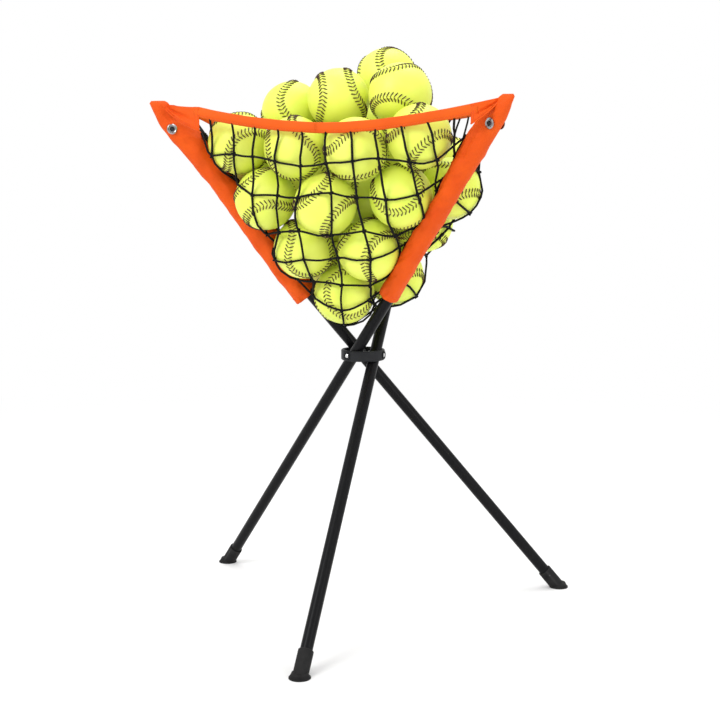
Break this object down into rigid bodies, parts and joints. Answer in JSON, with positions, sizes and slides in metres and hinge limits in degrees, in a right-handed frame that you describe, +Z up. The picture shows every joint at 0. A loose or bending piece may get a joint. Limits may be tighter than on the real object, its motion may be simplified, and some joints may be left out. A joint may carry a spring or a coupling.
{
  "type": "ball caddy",
  "caption": "Folding tripod ball caddy: crossing poles through a hub ring, with an orange fabric and black net basket full of yellow softballs.",
  "frame": {"origin": "on the floor, at the middle of the whole object's footprint", "axes": "+Z up; the foot of leg b points towards -Y and its basket corner towards +Y"},
  "size_m": [0.6396, 0.7032, 0.9075],
  "materials": {
    "hub_plastic": "moulded black",
    "rivet_steel": "bright",
    "pole_paint": "gloss black powder coat",
    "cap_plastic": "moulded black",
    "foot_rubber": "moulded black",
    "pin_steel": "plain",
    "sleeve_fabric": "orange woven nylon",
    "band_fabric": "orange hemmed band",
    "stud_metal": "bright",
    "net_cord": "black knotted cord",
    "ball_cover": "pebbled yellow cover",
    "ball_core": "fibre core"
  },
  "bodies": {
    "hub": {"hub_ring": "hub_plastic", "pivot_rivets": "rivet_steel", "rim_band_ab": "band_fabric", "rim_band_bc": "band_fabric", "rim_band_ca": "band_fabric", "net_panel_ab": "net_cord", "net_panel_bc": "net_cord", "net_panel_ca": "net_cord"},
    "leg_a": {"pole_a": "pole_paint", "pole_cap_a": "cap_plastic", "foot_a": "foot_rubber", "foot_pin_a": "pin_steel", "sleeve_a": "sleeve_fabric", "tip_pocket_a": "sleeve_fabric", "corner_stud_a": "stud_metal"},
    "leg_b": {"pole_b": "pole_paint", "pole_cap_b": "cap_plastic", "foot_b": "foot_rubber", "foot_pin_b": "pin_steel", "sleeve_b": "sleeve_fabric", "tip_pocket_b": "sleeve_fabric", "corner_stud_b": "stud_metal"},
    "leg_c": {"pole_c": "pole_paint", "pole_cap_c": "cap_plastic", "foot_c": "foot_rubber", "foot_pin_c": "pin_steel", "sleeve_c": "sleeve_fabric", "tip_pocket_c": "sleeve_fabric", "corner_stud_c": "stud_metal"},
    "balls": {"ball_01": "ball_cover", "ball_02": "ball_cover", "ball_04": "ball_cover", "ball_05": "ball_cover", "ball_06": "ball_cover", "ball_07": "ball_cover", "ball_08": "ball_cover", "ball_09": "ball_cover", "ball_10": "ball_cover", "ball_11": "ball_cover", "ball_12": "ball_cover", "ball_13": "ball_cover", "ball_14": "ball_cover", "ball_15": "ball_cover", "ball_16": "ball_cover", "ball_17": "ball_cover", "ball_18": "ball_cover", "ball_19": "ball_cover", "ball_20": "ball_cover", "ball_21": "ball_cover", "ball_22": "ball_cover", "ball_23": "ball_cover", "ball_24": "ball_cover", "ball_25": "ball_cover", "ball_26": "ball_cover", "ball_27": "ball_cover", "ball_28": "ball_cover", "inner_balls": "ball_cover", "ball_cores": "ball_core"},
    "top_ball": {"ball_03": "ball_cover", "top_ball_core": "ball_core"}
  },
  "joints": [
    {"name": "ball_unload", "type": "slide", "parent": "hub", "child": "balls", "axis": [0, 0, 1], "range_m": [0, 0.72]},
    {"name": "leg_a_fold", "type": "hinge", "parent": "hub", "child": "leg_a", "pos_m": [0, -0.00332, 0.418], "axis": [-0.5, -0.866, 0], "range_deg": [0, 36.5], "deforming": ["net_panel_ab", "rim_band_ab"]},
    {"name": "leg_b_fold", "type": "hinge", "parent": "hub", "child": "leg_b", "pos_m": [0.03, 0.014, 0.418], "axis": [1, 0, 0], "range_deg": [0, 36.5], "deforming": ["net_panel_bc", "rim_band_bc"]},
    {"name": "leg_c_fold", "type": "hinge", "parent": "hub", "child": "leg_c", "pos_m": [0, 0.03132, 0.418], "axis": [-0.5, 0.866, 0], "range_deg": [0, 36.5], "deforming": ["net_panel_ca", "rim_band_ca"]},
    {"name": "top_ball_lift", "type": "slide", "parent": "balls", "child": "top_ball", "axis": [0, 0, 1], "range_m": [0, 0.25]}
  ],
  "couplings": [
    {"joint": "leg_a_fold", "follows": "ball_unload", "rad_per_m": 0.87267},
    {"joint": "leg_b_fold", "follows": "ball_unload", "rad_per_m": 0.87267},
    {"joint": "leg_c_fold", "follows": "ball_unload", "rad_per_m": 0.87267}
  ]
}
